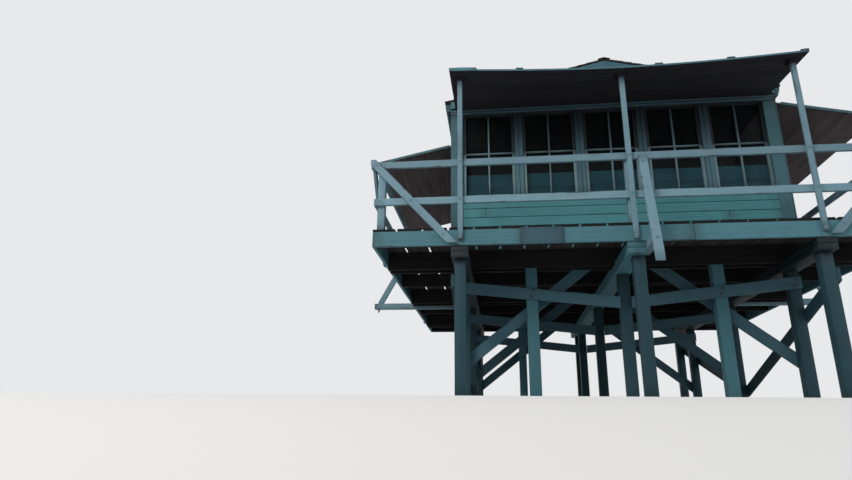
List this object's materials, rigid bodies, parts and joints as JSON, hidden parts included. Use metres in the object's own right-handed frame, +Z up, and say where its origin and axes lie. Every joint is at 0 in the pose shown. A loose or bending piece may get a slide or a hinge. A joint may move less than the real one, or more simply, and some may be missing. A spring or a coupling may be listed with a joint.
{
  "type": "fire lookout tower",
  "caption": "Low timber fire lookout: a square windowed cab with propped shutters on a railed plank catwalk, standing on short braced timber legs.",
  "frame": {"origin": "on the ground under the middle of the deck", "axes": "+X along the front wall to the right seen from the front, +Y from the front to the back, +Z up"},
  "size_m": [7.175, 6.653, 4.6574],
  "materials": {
    "leg_timber": "weathered blue-grey painted timber",
    "frame_timber": "dark weathered timber",
    "plank_wood": "weathered grey-brown planks",
    "rail_paint": "worn blue-grey paint over timber",
    "sign_wood": "bare pale painted board",
    "trim_paint": "worn blue-grey paint",
    "sash_paint": "pale grey paint",
    "wall_board": "dull painted boards",
    "siding_paint": "green-grey paint on lapped boards",
    "door_paint": "worn green-grey paint",
    "window_glass": "dull window glass",
    "roof_shingle": "weathered wood shingles",
    "shutter_wood": "dark weathered boards",
    "stay_iron": "dark iron bar"
  },
  "bodies": {
    "root": {"front_legs": "leg_timber", "middle_legs": "leg_timber", "back_legs": "leg_timber", "girders": "frame_timber", "floor_joists": "frame_timber", "row_braces": "frame_timber", "side_braces": "frame_timber", "outrigger_arms": "frame_timber", "left_deck": "plank_wood", "right_deck": "plank_wood", "front_deck": "plank_wood", "back_deck": "plank_wood", "cab_floor": "plank_wood", "end_fascias": "rail_paint", "side_fascias": "rail_paint", "rail_posts": "rail_paint", "end_rails": "rail_paint", "side_rails": "rail_paint", "rail_braces": "rail_paint", "outrigger_braces": "rail_paint", "shutter_props": "rail_paint", "sign_board": "sign_wood", "corner_posts": "trim_paint", "mullions": "trim_paint", "window_sills": "trim_paint", "door_frame": "trim_paint", "roof_trim": "trim_paint", "front_sashes": "sash_paint", "right_sashes": "sash_paint", "back_sashes": "sash_paint", "left_sashes": "sash_paint", "front_wall": "wall_board", "right_wall": "wall_board", "back_wall": "wall_board", "left_wall": "wall_board", "end_headers": "wall_board", "side_headers": "wall_board", "front_inner_board": "wall_board", "ceiling": "wall_board", "lap_siding": "siding_paint", "gables": "siding_paint", "door_leaf": "door_paint", "window_glass": "window_glass", "door_glass": "window_glass", "left_roof": "roof_shingle", "right_roof": "roof_shingle", "ridge_cap": "roof_shingle", "front_shutter": "shutter_wood", "back_shutter": "shutter_wood", "left_shutter": "shutter_wood", "right_shutter": "shutter_wood", "shutter_stays": "stay_iron"}
  },
  "joints": []
}
